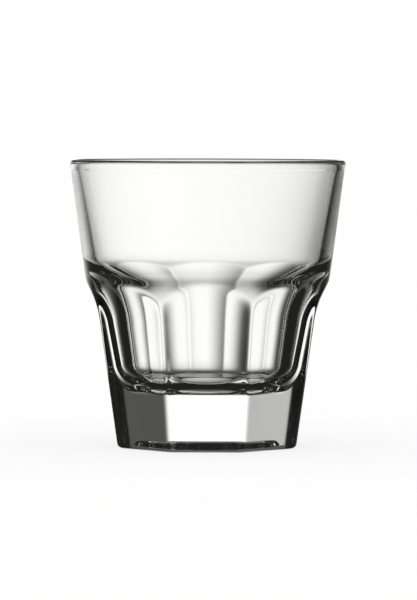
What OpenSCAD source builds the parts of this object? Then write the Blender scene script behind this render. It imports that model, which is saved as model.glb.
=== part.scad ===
// Rocks glass: a pressed tumbler with a plain flared bowl above a faceted body and a thick solid base.
// Sizes are in millimetres and angles in degrees. The glass stands on Z = 0 with its axis on Z,
// and the middle of one flat faces +X.

/* [Overall] */
// Height from the table to the top of the rim
height = 91; // [82:0.1:104]
// Outside diameter at the rim
rim_diameter = 88.2; // [82:0.2:98]
// Diameter of the bowl's cone where it would reach the table
base_diameter = 62.8; // [58:0.2:68]

/* [Bowl] */
// Thickness of the wall at the rim
rim_thickness = 2.6; // [2.4:0.1:4]
// Radius of the rim's outer edge
rim_outer_radius = 1.5; // [0.8:0.1:1.6]
// Radius of the rim's inner edge
rim_inner_radius = 0.7; // [0.4:0.1:0.8]
// Thickness of the wall at the bottom of the bowl
bowl_wall = 4.1; // [3.2:0.1:5]

/* [Flats] */
// Number of flats pressed round the body
flat_count = 8; // [6:1:12]
// Depth of the middle of a flat below the bowl's cone
flat_depth = 3.25; // [2.6:0.05:4]
// Height at which a flat starts to curve out to the bowl
flat_height = 40.6; // [34:0.2:44]
// Radius of the cove at the top of each flat
cove_radius = 25.5; // [20:0.5:40]
// Radius of the heel, where a flat turns under the base
heel_radius = 1.4; // [1:0.1:3]

/* [Well] */
// Thickness of the base, from the table to the edge of the inside floor
floor_height = 18.5; // [14:0.1:24]
// Depth of the shallow dish in the floor
floor_dish = 0.5; // [0.1:0.1:1]
// Thickness of the wall at the floor, from the middle of a flat to the well
well_wall = 7.8; // [6:0.1:10]
// Lean of the well's wall from upright
well_lean = 10.2; // [8:0.1:12]
// Radius between the well's wall and the floor
floor_fillet = 10.5; // [4:0.5:13]
// Height at which the bowl's wall would meet the sloping ledge
ledge_height = 57; // [53:0.1:62]
// Lean of the ledge from upright
ledge_lean = 35.5; // [30:0.5:50]
// Radius where the bowl turns into the ledge
ledge_top_radius = 16.5; // [6:0.5:24]
// Radius where the ledge turns down into the well
ledge_foot_radius = 30; // [8:0.5:34]

/* [Underside] */
// Width of the ring that the glass stands on, at the middle of a flat
bearing_width = 8.3; // [4:0.1:10]
// Depth of the hollow inside that ring
punt_depth = 3.6; // [2:0.1:5]
// Lean of the hollow's side from upright
punt_lean = 42; // [20:1:50]
// Radius between the hollow's side and its ceiling
punt_round = 3.1; // [1:0.1:4]

/* [Hidden] */
$fn = 128;

// Steps in each rounded corner
arc_steps = 12;
// How far the cutting shapes reach past the glass
overrun = 5;

function unit(v) = v / norm(v);

// A point turned about the origin
function turned(p, angle) = [p.x * cos(angle) - p.y * sin(angle), p.x * sin(angle) + p.y * cos(angle)];

// Half the angle at a corner between two neighbouring points of an outline
function half_angle(before, corner, after) = acos(unit(before - corner) * unit(after - corner)) / 2;

// Points of the arc that rounds a corner
function rounded(before, corner, after, radius) =
    let (to_before = unit(before - corner))
    let (to_after = unit(after - corner))
    let (half = half_angle(before, corner, after))
    let (centre = corner + unit(to_before + to_after) * radius / sin(half))
    let (start = corner + to_before * radius / tan(half) - centre)
    let (turn = (180 - 2 * half) * sign(cross(to_after, to_before)))
    [for (i = [0:arc_steps]) centre + turned(start, turn * i / arc_steps)];

// Radius of the bowl's cone at a height
rim_radius = rim_diameter / 2;
base_radius = base_diameter / 2;
function wall_radius(z) = base_radius + (rim_radius - base_radius) * z / height;

// Middle line of a flat, from the table up to its cove
flat_foot = [base_radius - flat_depth, 0];
flat_end = [wall_radius(flat_height) - flat_depth, flat_height];
flat_lean = atan((flat_end.x - flat_foot.x) / flat_height);
heel_arc = rounded([0, 0], flat_foot, flat_end, heel_radius);
// The cove leaves the flat without a crease and sweeps out past the bowl's cone
cove_start = [-cos(flat_lean), sin(flat_lean)] * cove_radius;
cove_sweep = acos(1 - (flat_depth + overrun) / cove_radius);
cove_arc = [for (i = [0:arc_steps]) flat_end - cove_start + turned(cove_start, -cove_sweep * i / arc_steps)];

// Inside corners of the glass, from the rim down
bowl_top = [rim_radius - rim_thickness, height];
ledge_top = [wall_radius(ledge_height) - bowl_wall, ledge_height];
well_foot = [wall_radius(floor_height) - flat_depth - well_wall, floor_height];
// The ledge and the well's wall meet where their two straight lines cross
ledge_drop = (ledge_top.x - well_foot.x - (ledge_top.y - well_foot.y) * tan(well_lean))
    / (tan(ledge_lean) - tan(well_lean));
ledge_foot = ledge_top - [tan(ledge_lean), 1] * ledge_drop;
// The ledge's two roundings shrink together where its slope is too short for both
ledge_top_reach = ledge_top_radius / tan(half_angle(bowl_top, ledge_top, ledge_foot));
ledge_foot_reach = ledge_foot_radius / tan(half_angle(ledge_top, ledge_foot, well_foot));
ledge_share = min(1, norm(ledge_top - ledge_foot) / (ledge_top_reach + ledge_foot_reach));

// The floor leaves its fillet at the slope of the dish's edge and falls to the middle as a parabola
floor_tangent = [0, floor_height - 2 * floor_dish];
fillet_arc = rounded(ledge_foot, well_foot, floor_tangent, floor_fillet);
floor_edge = fillet_arc[arc_steps];
function dish_drop(r) = floor_dish * (pow(floor_edge.x, 2) - r * r) / (floor_edge.x * well_foot.x);
dish_arc = [
    for (i = [1:arc_steps])
        let (r = floor_edge.x * (1 - i / arc_steps))
        [r, floor_edge.y - dish_drop(r)]
];

// Outside corners of the glass before the flats are pressed
rim_top = [rim_radius, height];
base_edge = [base_radius, 0];

// Corners of the hollow under the base
punt_edge = [heel_arc[0].x - bearing_width, 0];
punt_corner = [punt_edge.x - punt_depth * tan(punt_lean), punt_depth];
punt_middle = [0, punt_depth];

// Half section of the round glass, from the middle of the underside round to the middle of the floor
glass_section = concat(
    [punt_middle],
    rounded(punt_middle, punt_corner, punt_edge, punt_round),
    [punt_edge, base_edge],
    rounded(base_edge, rim_top, bowl_top, rim_outer_radius),
    rounded(rim_top, bowl_top, ledge_top, rim_inner_radius),
    rounded(bowl_top, ledge_top, ledge_foot, ledge_top_radius * ledge_share),
    rounded(ledge_top, ledge_foot, well_foot, ledge_foot_radius * ledge_share),
    fillet_arc,
    dish_arc
);

// Cutting shape of one flat with its heel and its cove, on the +X side
module flat_cut() {
    cove_top = cove_arc[arc_steps];
    far = cove_top.x + overrun;
    clear_of_glass = [[far, cove_top.y], [far, -overrun], [heel_arc[0].x, -overrun]];
    chord = 2 * rim_radius * tan(180 / flat_count) + 2 * overrun;
    rotate([90, 0, 0])
        linear_extrude(chord, center = true)
            polygon(concat(heel_arc, cove_arc, clear_of_glass));
}

// The whole glass, pressed in one piece
module tumbler() {
    color("gainsboro", 0.5)
        difference() {
            rotate_extrude()
                polygon(glass_section);
            for (i = [0:flat_count - 1])
                rotate(i * 360 / flat_count)
                    flat_cut();
        }
}

tumbler();
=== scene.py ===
"""A rocks glass: one pressed tumbler of clear soda-lime glass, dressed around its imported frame.

The glass is one unbroken mesh. A Geometry Nodes tree spins its half section round the axis and presses the flats
into the outside. The studio is a bright field: a white panel behind the glass and dark sides, so that clear glass
is drawn by its own dark edges.
"""

import logging
import math
from dataclasses import dataclass, field
from enum import Enum
from typing import Any, Mapping

import bpy
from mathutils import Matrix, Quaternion, Vector


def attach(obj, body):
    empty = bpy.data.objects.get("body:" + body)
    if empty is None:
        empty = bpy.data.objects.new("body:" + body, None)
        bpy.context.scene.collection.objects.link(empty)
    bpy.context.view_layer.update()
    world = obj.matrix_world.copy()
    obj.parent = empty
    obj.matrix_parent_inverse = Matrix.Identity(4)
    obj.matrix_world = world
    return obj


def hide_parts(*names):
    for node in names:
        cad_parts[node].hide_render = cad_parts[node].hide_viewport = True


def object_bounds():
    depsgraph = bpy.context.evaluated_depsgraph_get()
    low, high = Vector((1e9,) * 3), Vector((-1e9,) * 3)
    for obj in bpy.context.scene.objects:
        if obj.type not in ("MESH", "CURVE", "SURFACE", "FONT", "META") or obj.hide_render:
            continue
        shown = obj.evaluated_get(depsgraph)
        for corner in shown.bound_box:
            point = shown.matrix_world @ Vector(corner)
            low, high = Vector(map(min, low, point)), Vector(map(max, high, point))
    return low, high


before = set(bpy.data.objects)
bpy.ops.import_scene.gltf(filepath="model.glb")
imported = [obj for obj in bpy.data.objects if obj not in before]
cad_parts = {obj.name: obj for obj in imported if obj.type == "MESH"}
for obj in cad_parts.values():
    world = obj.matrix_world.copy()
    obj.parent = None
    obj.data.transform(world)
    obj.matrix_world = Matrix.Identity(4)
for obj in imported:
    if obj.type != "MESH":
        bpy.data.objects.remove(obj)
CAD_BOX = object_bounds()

LOG = logging.getLogger("rocks_glass")
MM = 0.001
WHITE = "#FFFFFF"
# Height of the photograph's frame, in pixels.
IMAGE_HEIGHT = 600
# A flat this far from the axis, in millimetres, presses nothing.
NO_FLAT = 1000.0
# Points of the mesh closer than this, in metres, become one.
SEAM_GAP = 1e-6
# Light paths count whole bounces, so a limit lies halfway between two counts.
HALF_BOUNCE = 0.5

Point = tuple[float, float]
Pair = tuple[float, float]
Colour = tuple[float, float, float, float]


class Packed(str, Enum):
    """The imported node, body and material slot that this scene names."""

    TUMBLER = "tumbler"
    BODY = "root"
    GLASS = "glass"


class Side(Enum):
    """Which way a rounded corner of an outline turns."""

    LEFT = 1
    RIGHT = -1


class Seen(Enum):
    """Which light paths through the glass see a panel of the studio."""

    ALWAYS = 1
    STRAIGHT_THROUGH = 2


def hex_to_linear(code: str) -> Colour:
    """Turns an sRGB hex colour into the linear colour that shaders take.

    Args:
        code: The colour as six hex digits after a hash.

    Returns:
        Linear red, green, blue and an alpha of 1.
    """
    shares = [int(code[i:i + 2], 16) / 255 for i in (1, 3, 5)]
    linear = [s / 12.92 if s <= 0.04045 else ((s + 0.055) / 1.055) ** 2.4 for s in shares]
    return (*linear, 1.0)


def add_node(
    tree: bpy.types.NodeTree, kind: str, inputs: Mapping[Any, Any] | None = None, **settings: Any,
) -> Any:
    """Adds a node to a tree, with its settings, values and links.

    Args:
        tree: The node tree.
        kind: The node's type name.
        inputs: Each input's name or index, with a value, a socket, or a node whose first output is linked.
        settings: The node's own properties.

    Returns:
        The new node.
    """
    node = tree.nodes.new(kind)
    for name, value in settings.items():
        setattr(node, name, value)
    for key, value in (inputs or {}).items():
        source = value.outputs[0] if isinstance(value, bpy.types.Node) else value
        if isinstance(source, bpy.types.NodeSocket):
            tree.links.new(source, node.inputs[key])
        else:
            node.inputs[key].default_value = source
    return node


def eased(value: float, start: float, end: float) -> float:
    """Share of the way from start to end that a value has come, easing in and out."""
    share = min(max((value - start) / (end - start), 0.0), 1.0)
    return share * share * (3 - 2 * share)


def rounded(before: Point, corner: Point, after: Point, radius: float, step: float) -> list[Point]:
    """Rounds a corner of an outline.

    Args:
        before: The outline's point before the corner.
        corner: The corner itself.
        after: The outline's point after the corner.
        radius: Radius of the arc.
        step: Largest turn between two points of the arc, in degrees.

    Returns:
        Points of the arc, from the side of before to the side of after.
    """
    middle = Vector(corner)
    to_before = (Vector(before) - middle).normalized()
    to_after = (Vector(after) - middle).normalized()
    half = to_before.angle(to_after) / 2
    centre = middle + (to_before + to_after).normalized() * (radius / math.sin(half))
    start = middle + to_before * (radius / math.tan(half)) - centre
    side = Side.LEFT if to_after.x * to_before.y - to_after.y * to_before.x > 0 else Side.RIGHT
    turn = (math.pi - 2 * half) * side.value
    steps = math.ceil(abs(math.degrees(turn)) / step)
    angles = [turn * i / steps for i in range(steps + 1)]
    return [
        (
            centre.x + start.x * math.cos(a) - start.y * math.sin(a),
            centre.y + start.x * math.sin(a) + start.y * math.cos(a),
        )
        for a in angles
    ]


@dataclass(frozen=True)
class Ring:
    """One ring of the glass, in millimetres.

    Attributes:
        radius: Radius of the round shape at this ring.
        height: Height of the ring above the table.
        flat: Distance of the flats from the axis at this ring.
    """

    radius: float
    height: float
    flat: float = NO_FLAT


@dataclass(frozen=True)
class SodaLimeGlass:
    """Clear soda-lime glass, pressed in a mould and fire-polished.

    Attributes:
        name: Name of the material.
        ior: Index of refraction.
        roughness: Roughness of the surface, none after fire polishing.
        tint: Colour of the surface.
        cast: Colour that light takes on inside the glass.
        cast_density: How much of the cast a metre of glass gives.
        ripple_length: Distance between two swells that pressing leaves in the surface, in millimetres.
        ripple_depth: Depth of those swells, in millimetres.
    """

    name: str = "soda_lime_glass"
    ior: float = 1.517
    roughness: float = 0.0
    tint: str = WHITE
    cast: str = "#DCE6E0"
    cast_density: float = 1.5
    ripple_length: float = 15.0
    ripple_depth: float = 0.03

    def material(self) -> bpy.types.Material:
        """Builds the glass.

        Returns:
            The new material.
        """
        # Polished glass gives the eye sharp, bright refractions, and dark edges where it turns light aside. The long
        # shallow ripple of pressing bends those edges a little, and thick stretches take a faint grey-green cast.
        made = bpy.data.materials.new(self.name)
        made.use_nodes = True
        tree = made.node_tree
        tree.nodes.clear()
        place = add_node(tree, "ShaderNodeTexCoord")
        ripple = add_node(tree, "ShaderNodeTexNoise", {
            "Vector": place.outputs["Object"],
            "Scale": 1 / (self.ripple_length * MM),
            "Detail": 0.0,
        })
        skin = add_node(tree, "ShaderNodeBump", {
            "Height": ripple,
            "Distance": self.ripple_depth * MM,
        })
        surface = add_node(tree, "ShaderNodeBsdfPrincipled", {
            "Base Color": hex_to_linear(self.tint),
            "Roughness": self.roughness,
            "IOR": self.ior,
            "Transmission Weight": 1.0,
            "Normal": skin,
        })
        cast = add_node(tree, "ShaderNodeVolumeAbsorption", {
            "Color": hex_to_linear(self.cast),
            "Density": self.cast_density,
        })
        add_node(tree, "ShaderNodeOutputMaterial", {"Surface": surface, "Volume": cast})
        return made


@dataclass(frozen=True)
class BackgroundPaper:
    """Matt white background paper, laid flat.

    Attributes:
        name: Name of the material.
        colour: Colour of the paper.
        glow: Share of plain white in what the camera sees of it.
    """

    name: str = "matt_background_paper"
    colour: str = "#FCFCFB"
    glow: float = 0.78

    def material(self) -> bpy.types.Material:
        """Builds the paper.

        Returns:
            The new material.
        """
        # Matt paper gives the eye an even white ground without gloss, on which the shadow of the glass stays faint.
        made = bpy.data.materials.new(self.name)
        made.use_nodes = True
        tree = made.node_tree
        tree.nodes.clear()
        matt = add_node(tree, "ShaderNodeBsdfDiffuse", {"Color": hex_to_linear(self.colour)})
        white = add_node(tree, "ShaderNodeEmission", {"Color": hex_to_linear(WHITE), "Strength": 1.0})
        path = add_node(tree, "ShaderNodeLightPath")
        share = add_node(
            tree, "ShaderNodeMath", {0: path.outputs["Is Camera Ray"], 1: self.glow}, operation="MULTIPLY",
        )
        mixed = add_node(tree, "ShaderNodeMixShader", {0: share, 1: matt, 2: white})
        add_node(tree, "ShaderNodeOutputMaterial", {"Surface": mixed})
        return made


@dataclass
class Tumbler:
    """The whole glass: a round section pressed with flats, sizes in millimetres and angles in degrees.

    Attributes:
        height: From the table to the top of the rim.
        rim_diameter: Outside diameter at the rim, before its edge is rounded.
        base_diameter: Diameter of the bowl's cone where it would reach the table.
        rim_thickness: Thickness of the wall at the rim.
        lip_outer: Width and height of the rim's outer rounding.
        lip_inner: Width and height of the rim's inner rounding.
        lip_height: From the top of the rim down to where the lip swells out.
        lip_fade: Height over which the swelling comes in.
        lip_step: How far the lip swells out.
        lip_inset: How far the swollen lip stays inside the cone.
        bowl_wall: Thickness of the wall at the bottom of the bowl.
        flat_count: Number of flats round the body.
        flat_depth: Depth of the middle of a flat below the cone.
        flat_height: Height at which a flat starts to curve out to the bowl.
        cove_radius: Radius of that curve.
        heel_radius: Radius of the heel as it is pressed.
        floor_height: Thickness of the base, up to the edge of the inside floor.
        floor_dish: Depth of the shallow dish in the floor.
        well_wall: Thickness of the wall at the floor, from the middle of a flat.
        well_lean: Lean of the well's wall from upright.
        floor_fillet: Radius between the well's wall and the floor.
        ledge_height: Height at which the bowl's wall would meet the sloping ledge.
        ledge_lean: Lean of the ledge from upright.
        ledge_top_radius: Radius where the bowl turns into the ledge.
        ledge_foot_radius: Radius where the ledge turns down into the well.
        bearing_width: Width of the ring that the glass stands on, at the middle of a flat.
        punt_depth: Depth of the hollow inside that ring.
        punt_lean: Lean of the hollow's side from upright.
        punt_round: Radius between the hollow's side and its ceiling.
        heel_polish: How much rounder fire polishing makes the heel.
        ridge_softness: Size of the polished rounding along the ridges between the flats.
        arch_softness: Size of the polished rounding where the flats run out into the bowl.
        columns_per_flat: Columns of the mesh across one flat.
        gathering: How strongly those columns gather at the ridges, up to 1.
        arc_step: Turn between two rings on an arc.
        cove_step: Height between two rings on the coves.
        dish_rings: Rings across the floor.
        lip_rings: Rings up the bowl's outside, and again over the start of the swelling.
        guard: How close the first and last ring of a straight stretch lie to its ends.
        finish: What the glass is made of.
    """

    height: float = CAD_BOX[1][2] / MM
    rim_diameter: float = 88.2
    base_diameter: float = 62.8
    rim_thickness: float = 2.6
    lip_outer: Pair = (1.2, 1.51)
    lip_inner: Pair = (0.62, 1.24)
    lip_height: float = 2.95
    lip_fade: float = 0.8
    lip_step: float = 0.1
    lip_inset: float = 0.05
    bowl_wall: float = 4.1
    flat_count: int = 8
    flat_depth: float = 3.25
    flat_height: float = 40.6
    cove_radius: float = 25.5
    heel_radius: float = 1.4
    floor_height: float = 18.5
    floor_dish: float = 0.5
    well_wall: float = 7.8
    well_lean: float = 10.2
    floor_fillet: float = 10.5
    ledge_height: float = 57.0
    ledge_lean: float = 35.5
    ledge_top_radius: float = 16.5
    ledge_foot_radius: float = 30.0
    bearing_width: float = 8.3
    punt_depth: float = 3.6
    punt_lean: float = 42.0
    punt_round: float = 3.1
    heel_polish: float = 0.5
    ridge_softness: float = 1.41
    arch_softness: float = 1.17
    columns_per_flat: int = 44
    gathering: float = 0.82
    arc_step: float = 2.5
    cove_step: float = 0.3
    dish_rings: int = 16
    lip_rings: int = 12
    guard: float = 0.3
    finish: SodaLimeGlass = field(default_factory=SodaLimeGlass)

    def wall_radius(self, z: float) -> float:
        """Radius of the plain outside cone at a height."""
        return (self.base_diameter + (self.rim_diameter - self.base_diameter) * z / self.height) / 2

    def flat_distance(self, z: float) -> float:
        """Distance of the middle of a flat from the axis at a height, below its cove."""
        return self.wall_radius(z) - self.flat_depth

    def lip_radius(self, z: float) -> float:
        """Radius of the bowl's outside at a height, with the fire-polished swelling of its lip.

        Args:
            z: The height above the table.

        Returns:
            The radius, which is the cone's own at the foot of the bowl.
        """
        swelling_start = self.height - self.lip_height - self.lip_fade / 2
        swelling_end = self.height - self.lip_height + self.lip_fade / 2
        below = (self.lip_inset + self.lip_step) * eased(z, self.ledge_height, swelling_start)
        swelling = self.lip_step * eased(z, swelling_start, swelling_end)
        return self.wall_radius(z) - below + swelling

    def stretch(self, start: Point, end: Point) -> list[Point]:
        """Finds points close to the ends of a straight stretch, which keep it straight under smooth shading.

        Args:
            start: Where the stretch starts.
            end: Where it ends.

        Returns:
            Two points just inside the ends.
        """
        a, b = Vector(start), Vector(end)
        step = (b - a).normalized() * min(self.guard, (b - a).length / 3)
        return [tuple(a + step), tuple(b - step)]

    def base_and_flats(self) -> list[Ring]:
        """Rings of the underside and the body, from the middle of the underside up to the foot of the bowl.

        Returns:
            The rings in order.
        """
        foot = (self.flat_distance(0), 0.0)
        end = (self.flat_distance(self.flat_height), self.flat_height)
        heel_step = self.arc_step * 2
        pressed_heel = rounded((0.0, 0.0), foot, end, self.heel_radius, heel_step)
        heel = rounded((0.0, 0.0), foot, end, self.heel_radius + self.heel_polish, heel_step)
        edge = (pressed_heel[0][0] - self.bearing_width, 0.0)
        punt_top = (edge[0] - self.punt_depth * math.tan(math.radians(self.punt_lean)), self.punt_depth)
        middle = (0.0, self.punt_depth)
        arc = rounded(middle, punt_top, edge, self.punt_round, heel_step)
        under = [middle, *self.stretch(middle, arc[0]), *arc, *self.stretch(arc[-1], edge), edge]
        body = [*heel, *self.stretch(heel[-1], end), end]
        rings = [Ring(x, z) for x, z in under]
        rings += [Ring(self.wall_radius(z), z, x) for x, z in body]
        # The cove leaves the flat without a crease, and its rings go on until the arch is fully out of the bowl.
        lean = math.atan2(end[0] - foot[0], self.flat_height)
        cove_x = end[0] + self.cove_radius * math.cos(lean)
        cove_z = end[1] - self.cove_radius * math.sin(lean)
        z = self.flat_height
        gap = 0.0
        while gap < 2 * self.arch_softness:
            z += self.cove_step
            x = cove_x - math.sqrt(self.cove_radius ** 2 - (z - cove_z) ** 2)
            rings.append(Ring(self.wall_radius(z), z, x))
            gap = x - self.wall_radius(z)
        rings.append(Ring(self.wall_radius(z + self.guard), z + self.guard))
        return rings

    def lip(self, bowl_top: Point, ledge_top: Point) -> list[Point]:
        """Points of the bowl's outside and of the rim, from the foot of the bowl over the rim to the inside.

        Args:
            bowl_top: Where the inside of the bowl would reach the top of the rim.
            ledge_top: Where the inside of the bowl would meet the ledge.

        Returns:
            The points in order.
        """
        lip_foot = self.height - self.lip_height - self.lip_fade / 2
        steps = self.lip_rings
        heights = [self.ledge_height + (lip_foot - self.ledge_height) * i / steps for i in range(steps)]
        heights += [lip_foot + self.lip_fade * i / steps for i in range(steps + 1)]
        outer = [(self.lip_radius(z), z) for z in heights]
        turns = [math.radians(self.arc_step) * i for i in range(round(90 / self.arc_step) + 1)]
        for a in turns:
            z = self.height - self.lip_outer[1] * (1 - math.sin(a))
            outer.append((self.lip_radius(z) - self.lip_outer[0] * (1 - math.cos(a)), z))
        lean = (bowl_top[0] - ledge_top[0]) / (bowl_top[1] - ledge_top[1])
        inner = []
        for a in reversed(turns):
            z = self.height - self.lip_inner[1] * (1 - math.sin(a))
            inner.append((bowl_top[0] + lean * (z - self.height) + self.lip_inner[0] * (1 - math.cos(a)), z))
        return [*outer, *self.stretch(outer[-1], inner[0]), *inner]

    def bowl_and_well(self) -> list[Ring]:
        """Rings from the foot of the bowl's outside up over the rim, and down to the middle of the floor.

        Returns:
            The rings in order.
        """
        bowl_top = (self.rim_diameter / 2 - self.rim_thickness, self.height)
        ledge_top = (self.wall_radius(self.ledge_height) - self.bowl_wall, self.ledge_height)
        well_foot = (self.flat_distance(self.floor_height) - self.well_wall, self.floor_height)
        floor_tangent = (0.0, self.floor_height - 2 * self.floor_dish)
        # The ledge and the well's wall meet where their two straight lines cross.
        steep = math.tan(math.radians(self.well_lean))
        slope = math.tan(math.radians(self.ledge_lean))
        drop = (ledge_top[0] - well_foot[0] - (ledge_top[1] - well_foot[1]) * steep) / (slope - steep)
        ledge_foot = (ledge_top[0] - slope * drop, ledge_top[1] - drop)
        corners = [
            (bowl_top, ledge_top, ledge_foot, self.ledge_top_radius),
            (ledge_top, ledge_foot, well_foot, self.ledge_foot_radius),
            (ledge_foot, well_foot, floor_tangent, self.floor_fillet),
        ]
        points = self.lip(bowl_top, ledge_top)
        for corner in corners:
            arc = rounded(*corner, self.arc_step)
            points += [*self.stretch(points[-1], arc[0]), *arc]
        # The floor leaves its fillet at the slope of the dish's edge and falls to the middle as a parabola.
        edge_r, edge_z = points[-1]
        fall = self.floor_dish / (edge_r * well_foot[0])
        shares = [1 - i / self.dish_rings for i in range(1, self.dish_rings + 1)]
        points += [(edge_r * s, edge_z - fall * edge_r ** 2 * (1 - s * s)) for s in shares]
        return [Ring(x, z) for x, z in points]

    def section(self) -> bpy.types.Object:
        """Draws the half section as a chain of points that carry the distance of the flats.

        Returns:
            The object that the tree spins.
        """
        rings = self.base_and_flats() + self.bowl_and_well()
        mesh = bpy.data.meshes.new("tumbler_section")
        edges = [(i, i + 1) for i in range(len(rings) - 1)]
        mesh.from_pydata([(r.radius * MM, 0.0, r.height * MM) for r in rings], edges, [])
        flat = mesh.attributes.new("flat", "FLOAT", "POINT")
        flat.data.foreach_set("value", [r.flat * MM for r in rings])
        made = bpy.data.objects.new("tumbler_section", mesh)
        bpy.context.scene.collection.objects.link(made)
        return made

    @staticmethod
    def look_up(tree: bpy.types.NodeTree, section: Any, count: Any) -> tuple[Any, Any, Any]:
        """Adds the nodes that find the column and the ring of each point of the grid.

        Args:
            tree: The Geometry Nodes tree.
            section: The socket that gives the section.
            count: The socket that gives the number of its rings.

        Returns:
            Nodes for the number of the column, the ring's place in the section, and the distance of its flats.
        """
        index = add_node(tree, "GeometryNodeInputIndex")
        ratio = add_node(tree, "ShaderNodeMath", {0: index, 1: count}, operation="DIVIDE")
        column = add_node(tree, "ShaderNodeMath", {0: ratio}, operation="FLOOR")
        row = add_node(tree, "ShaderNodeMath", {0: index, 1: count}, operation="MODULO")
        place = add_node(tree, "GeometryNodeInputPosition")
        flat = add_node(tree, "GeometryNodeInputNamedAttribute", {"Name": "flat"}, data_type="FLOAT")
        spot, flats = (
            add_node(
                tree, "GeometryNodeSampleIndex", {"Geometry": section, "Value": value, "Index": row}, data_type=kind,
            )
            for value, kind in ((place, "FLOAT_VECTOR"), (flat, "FLOAT"))
        )
        return column, add_node(tree, "ShaderNodeSeparateXYZ", {0: spot}), flats

    @staticmethod
    def turn(tree: bpy.types.NodeTree, given: Any, column: Any, sweep: Any) -> tuple[Any, Any]:
        """Adds the nodes that turn each column to its angle, with the columns gathered at the ridges.

        Args:
            tree: The Geometry Nodes tree.
            given: The tree's own inputs.
            column: The number of the column.
            sweep: The angle that one flat takes up.

        Returns:
            Nodes for the angle from the middle of the column's flat, and for the whole angle.
        """
        sector = add_node(tree, "ShaderNodeMath", {0: column, 1: given["Columns per flat"]}, operation="DIVIDE")
        across = add_node(tree, "ShaderNodeMath", {0: sector}, operation="FRACT")
        whole = add_node(tree, "ShaderNodeMath", {0: sector}, operation="FLOOR")
        phase = add_node(tree, "ShaderNodeMath", {0: across, 1: math.tau}, operation="MULTIPLY")
        wave = add_node(tree, "ShaderNodeMath", {0: phase}, operation="SINE")
        pull = add_node(tree, "ShaderNodeMath", {0: given["Gathering"], 1: math.tau}, operation="DIVIDE")
        shift = add_node(tree, "ShaderNodeMath", {0: wave, 1: pull}, operation="MULTIPLY")
        gathered = add_node(tree, "ShaderNodeMath", {0: across, 1: shift}, operation="SUBTRACT")
        centred = add_node(tree, "ShaderNodeMath", {0: gathered, 1: 0.5}, operation="SUBTRACT")
        fold = add_node(tree, "ShaderNodeMath", {0: centred, 1: sweep}, operation="MULTIPLY")
        turned = add_node(tree, "ShaderNodeMath", {0: whole, 1: sweep, 2: fold}, operation="MULTIPLY_ADD")
        return fold, turned

    @staticmethod
    def press(tree: bpy.types.NodeTree, given: Any, flats: Any, fold: Any, sweep: Any, cone: Any) -> Any:
        """Adds the nodes that press a column's flat and the one beside it into the round shape.

        Args:
            tree: The Geometry Nodes tree.
            given: The tree's own inputs.
            flats: The distance of the flats from the axis.
            fold: The angle from the middle of the column's flat.
            sweep: The angle that one flat takes up.
            cone: The radius of the round shape.

        Returns:
            The node for the pressed radius, with soft ridges and arches.
        """
        fold_cosine = add_node(tree, "ShaderNodeMath", {0: fold}, operation="COSINE")
        pressed = add_node(tree, "ShaderNodeMath", {0: flats, 1: fold_cosine}, operation="DIVIDE")
        folded = add_node(tree, "ShaderNodeMath", {0: fold}, operation="ABSOLUTE")
        beyond = add_node(tree, "ShaderNodeMath", {0: sweep, 1: folded}, operation="SUBTRACT")
        beyond_cosine = add_node(tree, "ShaderNodeMath", {0: beyond}, operation="COSINE")
        beside = add_node(tree, "ShaderNodeMath", {0: flats, 1: beyond_cosine}, operation="DIVIDE")
        body = add_node(
            tree, "ShaderNodeMath", {0: pressed, 1: beside, 2: given["Ridge softness"]}, operation="SMOOTH_MIN",
        )
        return add_node(
            tree, "ShaderNodeMath", {0: cone, 1: body, 2: given["Arch softness"]}, operation="SMOOTH_MIN",
        )

    def press_tree(self) -> bpy.types.NodeTree:
        """Builds the tree that spins a section and presses flats into it.

        Returns:
            The Geometry Nodes tree.
        """
        tree = bpy.data.node_groups.new("press_tumbler", "GeometryNodeTree")
        sockets = {
            "Section": "NodeSocketGeometry",
            "Flats": "NodeSocketInt",
            "Columns per flat": "NodeSocketInt",
            "Gathering": "NodeSocketFloat",
            "Ridge softness": "NodeSocketFloat",
            "Arch softness": "NodeSocketFloat",
            "Glass": "NodeSocketMaterial",
        }
        for name, kind in sockets.items():
            tree.interface.new_socket(name, in_out="INPUT", socket_type=kind)
        tree.interface.new_socket("Tumbler", in_out="OUTPUT", socket_type="NodeSocketGeometry")
        given = add_node(tree, "NodeGroupInput").outputs

        rings = add_node(tree, "GeometryNodeAttributeDomainSize", {0: given["Section"]}, component="MESH")
        count = rings.outputs["Point Count"]
        spans = add_node(
            tree, "ShaderNodeMath", {0: given["Flats"], 1: given["Columns per flat"]}, operation="MULTIPLY",
        )
        columns = add_node(tree, "ShaderNodeMath", {0: spans, 1: 1.0}, operation="ADD")
        grid = add_node(tree, "GeometryNodeMeshGrid", {"Vertices X": columns, "Vertices Y": count})

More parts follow.
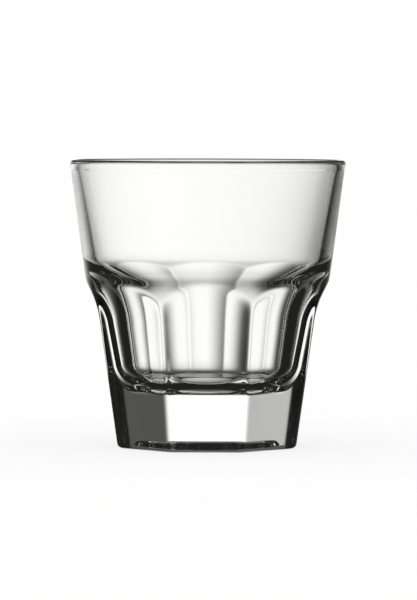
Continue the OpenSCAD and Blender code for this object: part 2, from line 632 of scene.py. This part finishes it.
        column, ring, flats = self.look_up(tree, given["Section"], count)
        sweep = add_node(tree, "ShaderNodeMath", {0: math.tau, 1: given["Flats"]}, operation="DIVIDE")
        fold, turned = self.turn(tree, given, column, sweep)
        radius = self.press(tree, given, flats, fold, sweep, ring.outputs["X"])
        cosine = add_node(tree, "ShaderNodeMath", {0: turned}, operation="COSINE")
        sine = add_node(tree, "ShaderNodeMath", {0: turned}, operation="SINE")
        x = add_node(tree, "ShaderNodeMath", {0: radius, 1: cosine}, operation="MULTIPLY")
        y = add_node(tree, "ShaderNodeMath", {0: radius, 1: sine}, operation="MULTIPLY")
        spot = add_node(tree, "ShaderNodeCombineXYZ", {"X": x, "Y": y, "Z": ring.outputs["Z"]})
        spun = add_node(tree, "GeometryNodeSetPosition", {"Geometry": grid.outputs["Mesh"], "Position": spot})
        closed = add_node(tree, "GeometryNodeMergeByDistance", {"Geometry": spun, "Distance": SEAM_GAP})
        smooth = add_node(tree, "GeometryNodeSetShadeSmooth", {"Geometry": closed})
        real = add_node(tree, "GeometryNodeRealizeInstances", {"Geometry": smooth})
        dressed = add_node(tree, "GeometryNodeSetMaterial", {"Geometry": real, "Material": given["Glass"]})
        add_node(tree, "NodeGroupOutput", {"Tumbler": dressed})
        return tree

    def build(self) -> bpy.types.Object:
        """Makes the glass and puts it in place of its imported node.

        Returns:
            The finished piece.
        """
        section = self.section()
        tree = self.press_tree()
        values = {
            "Flats": self.flat_count,
            "Columns per flat": self.columns_per_flat,
            "Gathering": self.gathering,
            "Ridge softness": self.ridge_softness * MM,
            "Arch softness": self.arch_softness * MM,
            "Glass": self.finish.material(),
        }
        modifier = section.modifiers.new("press", "NODES")
        modifier.node_group = tree
        for socket in tree.interface.items_tree:
            if socket.name in values:
                modifier[socket.identifier] = values[socket.name]
        depsgraph = bpy.context.evaluated_depsgraph_get()
        mesh = bpy.data.meshes.new_from_object(section.evaluated_get(depsgraph))
        section.modifiers.remove(modifier)
        bpy.data.objects.remove(section)
        mesh.name = "pressed_tumbler"
        piece = bpy.data.objects.new("pressed_tumbler", mesh)
        bpy.context.scene.collection.objects.link(piece)
        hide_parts(Packed.TUMBLER.value)
        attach(piece, Packed.BODY.value)
        return piece


@dataclass(frozen=True)
class SoftPanel:
    """A soft-edged bright patch of the studio's surround, all angles in degrees.

    Attributes:
        azimuth: Middle of the patch, from straight behind the glass towards its right.
        reach: How far it goes to its left and to its right, at half strength.
        side_fades: Width of the fade at its left and at its right edge.
        ends: Its lowest and its highest elevation, at half strength.
        end_fades: Height of the fade at its lower and at its upper edge.
        strength: Brightness at the middle.
        seen: Whether light that was mirrored on its way sees the patch too.
    """

    azimuth: float
    reach: Pair
    side_fades: Pair
    ends: Pair
    end_fades: Pair
    strength: float
    seen: Seen = Seen.ALWAYS

    def shine(self, tree: bpy.types.NodeTree, azimuth: Any, elevation: Any, straight: Any) -> Any:
        """Adds the nodes that give the patch's brightness in a direction.

        Args:
            tree: The world's node tree.
            azimuth: The direction's azimuth.
            elevation: The direction's elevation.
            straight: The node that is 1 for light that was never mirrored, and otherwise 0.

        Returns:
            The node for the brightness.
        """
        beside = add_node(
            tree, "ShaderNodeMath", {0: azimuth, 1: math.radians(self.azimuth)}, operation="SUBTRACT",
        )
        off = add_node(tree, "ShaderNodeMath", {0: beside, 1: math.pi, 2: -math.pi}, operation="WRAP")
        edges = (
            (off, -self.reach[0], self.side_fades[0]),
            (off, self.reach[1], -self.side_fades[1]),
            (elevation, self.ends[0], self.end_fades[0]),
            (elevation, self.ends[1], -self.end_fades[1]),
        )
        light: Any = self.strength
        for angle, edge, fade in edges:
            share = add_node(tree, "ShaderNodeMapRange", {
                "Value": angle,
                "From Min": math.radians(edge - fade / 2),
                "From Max": math.radians(edge + fade / 2),
            }, interpolation_type="SMOOTHSTEP")
            light = add_node(tree, "ShaderNodeMath", {0: light, 1: share}, operation="MULTIPLY")
        if self.seen is Seen.STRAIGHT_THROUGH:
            light = add_node(tree, "ShaderNodeMath", {0: light, 1: straight}, operation="MULTIPLY")
        return light


@dataclass
class Studio:
    """A pale floor and a white surround, in which refracted and mirrored rays see soft panels and dark gaps.

    Attributes:
        floor_radius: Radius of the floor, in metres.
        floor_sides: Number of the floor's sides.
        paper: What lies on the floor.
        panel_colour: Colour of the panels.
        dark: Brightness of the gaps between them.
        lost_after: Number of mirrorings inside the glass after which light from the panels is lost.
        bounces: Most turns of a light path.
        mirrorings: Most mirrorings of a light path.
        panels: The soft panels round the glass.
    """

    floor_radius: float = 6.0
    floor_sides: int = 64
    paper: BackgroundPaper = field(default_factory=BackgroundPaper)
    panel_colour: str = "#FFFFFC"
    dark: float = 0.014
    lost_after: int = 10
    bounces: int = 48
    mirrorings: int = 32
    panels: tuple[SoftPanel, ...] = (
        # The white panel behind the glass, and the faint spill of light round it
        SoftPanel(-7.0, (18.0, 18.2), (31.0, 28.0), (-24.5, 7.5), (36.0, 3.2), 1.07),
        SoftPanel(-7.0, (32.0, 36.0), (30.0, 13.0), (-61.0, 53.0), (31.0, 37.0), 0.092),
        # Panels that keep the glass clear to a view from its right front, its right, its left back and above
        SoftPanel(-47.0, (14.0, 10.0), (20.0, 16.0), (-46.0, -13.0), (40.0, 12.0), 1.1, Seen.STRAIGHT_THROUGH),
        SoftPanel(-97.0, (17.0, 18.0), (31.0, 28.0), (-22.0, 7.5), (54.0, 3.2), 1.31, Seen.STRAIGHT_THROUGH),
        SoftPanel(128.0, (17.0, 18.0), (31.0, 28.0), (-34.0, 4.0), (54.0, 6.0), 1.31, Seen.STRAIGHT_THROUGH),
        SoftPanel(173.0, (140.0, 140.0), (30.0, 30.0), (-180.0, -48.0), (1.0, 16.0), 1.1, Seen.STRAIGHT_THROUGH),
    )

    def floor(self) -> bpy.types.Object:
        """Lays the floor, which shows white to the camera and keeps the shadow of the glass.

        Returns:
            The floor.
        """
        mesh = bpy.data.meshes.new("studio_floor")
        angles = [math.tau * i / self.floor_sides for i in range(self.floor_sides)]
        mesh.from_pydata(
            [(self.floor_radius * math.cos(a), self.floor_radius * math.sin(a), 0.0) for a in angles],
            [], [tuple(range(self.floor_sides))],
        )
        mesh.materials.append(self.paper.material())
        floor = bpy.data.objects.new("studio_floor", mesh)
        bpy.context.scene.collection.objects.link(floor)
        floor.visible_transmission = False
        floor.visible_glossy = False
        return floor

    def surround(self) -> bpy.types.World:
        """Builds the surround: white to the camera, panels and gaps to refracted and mirrored rays.

        Returns:
            The world.
        """
        world = bpy.data.worlds.new("bright_field")
        bpy.context.scene.world = world
        world.use_nodes = True
        tree = world.node_tree
        tree.nodes.clear()
        way = add_node(tree, "ShaderNodeTexCoord")
        axes = add_node(tree, "ShaderNodeSeparateXYZ", {0: way.outputs["Generated"]})
        azimuth = add_node(
            tree, "ShaderNodeMath", {0: axes.outputs["X"], 1: axes.outputs["Y"]}, operation="ARCTAN2",
        )
        elevation = add_node(tree, "ShaderNodeMath", {0: axes.outputs["Z"]}, operation="ARCSINE")
        path = add_node(tree, "ShaderNodeLightPath")
        straight, kept = (
            add_node(
                tree, "ShaderNodeMath",
                {0: path.outputs["Glossy Depth"], 1: most + HALF_BOUNCE}, operation="LESS_THAN",
            )
            for most in (0, self.lost_after)
        )
        total: Any = 0.0
        for panel in self.panels:
            light = panel.shine(tree, azimuth, elevation, straight)
            total = add_node(tree, "ShaderNodeMath", {0: total, 1: light}, operation="ADD")
        total = add_node(tree, "ShaderNodeMath", {0: total, 1: kept, 2: self.dark}, operation="MULTIPLY_ADD")
        bent = add_node(tree, "ShaderNodeMath", {
            0: path.outputs["Is Glossy Ray"],
            1: path.outputs["Is Transmission Ray"],
        }, operation="MAXIMUM")
        panels = add_node(tree, "ShaderNodeBackground", {
            "Color": hex_to_linear(self.panel_colour),
            "Strength": total,
        })
        white = add_node(tree, "ShaderNodeBackground", {"Color": hex_to_linear(WHITE), "Strength": 1.0})
        mixed = add_node(tree, "ShaderNodeMixShader", {0: bent, 1: white, 2: panels})
        add_node(tree, "ShaderNodeOutputWorld", {"Surface": mixed})
        return world

    def build(self) -> bpy.types.Object:
        """Sets up the colour handling, the light paths, the surround and the floor.

        Returns:
            The floor.
        """
        scene = bpy.context.scene
        scene.view_settings.view_transform = "Standard"
        scene.cycles.max_bounces = self.bounces
        scene.cycles.transmission_bounces = self.bounces
        scene.cycles.glossy_bounces = self.mirrorings
        self.surround()
        return self.floor()


@dataclass
class ProductCamera:
    """A long lens at the photograph's viewing angle, sizes in millimetres and angles in degrees.

    Attributes:
        distance: Distance from the axis of the glass.
        height: Height above the table.
        azimuth: Turn round the glass, from straight in front towards its right.
        roll: Turn about the line of sight.
        aim: The point in the middle of the image.
        scale: Pixels of the image to a millimetre at that point.
        sensor: Size of the sensor along the image's longer side.
        reach: How far the camera sees, in metres.
    """

    distance: float = 1274.0
    height: float = 104.3
    azimuth: float = 0.583
    roll: float = 0.13
    aim: tuple[float, float, float] = (0.33, 0.0, 46.435)
    scale: float = 3.145
    sensor: float = 36.0
    reach: float = 50.0

    def build(self) -> bpy.types.Object:
        """Sets up the camera.

        Returns:
            The camera.
        """
        data = bpy.data.cameras.new("product_camera")
        turn = math.radians(self.azimuth)
        spot = Vector((math.sin(turn) * self.distance, -math.cos(turn) * self.distance, self.height))
        to_aim = Vector(self.aim) - spot
        data.sensor_width = self.sensor
        data.lens = self.sensor * to_aim.length * self.scale / IMAGE_HEIGHT
        data.clip_end = self.reach
        camera = bpy.data.objects.new("product_camera", data)
        camera.location = spot * MM
        level = to_aim.to_track_quat("-Z", "Y")
        camera.rotation_euler = (level @ Quaternion((0.0, 0.0, 1.0), math.radians(self.roll))).to_euler()
        bpy.context.scene.collection.objects.link(camera)
        bpy.context.scene.camera = camera
        return camera


def main() -> None:
    """Builds the camera, the studio and the glass, and reports each of them."""
    logging.basicConfig(level=logging.INFO, format="%(name)s %(message)s")
    camera = ProductCamera().build()
    LOG.info("%s: %.0f mm lens", camera.name, camera.data.lens)
    floor = Studio().build()
    LOG.info("%s: %d sides", floor.name, len(floor.data.vertices))
    glass = Tumbler().build()
    LOG.info("%s: %d faces", glass.name, len(glass.data.polygons))


if __name__ == "__main__":
    main()
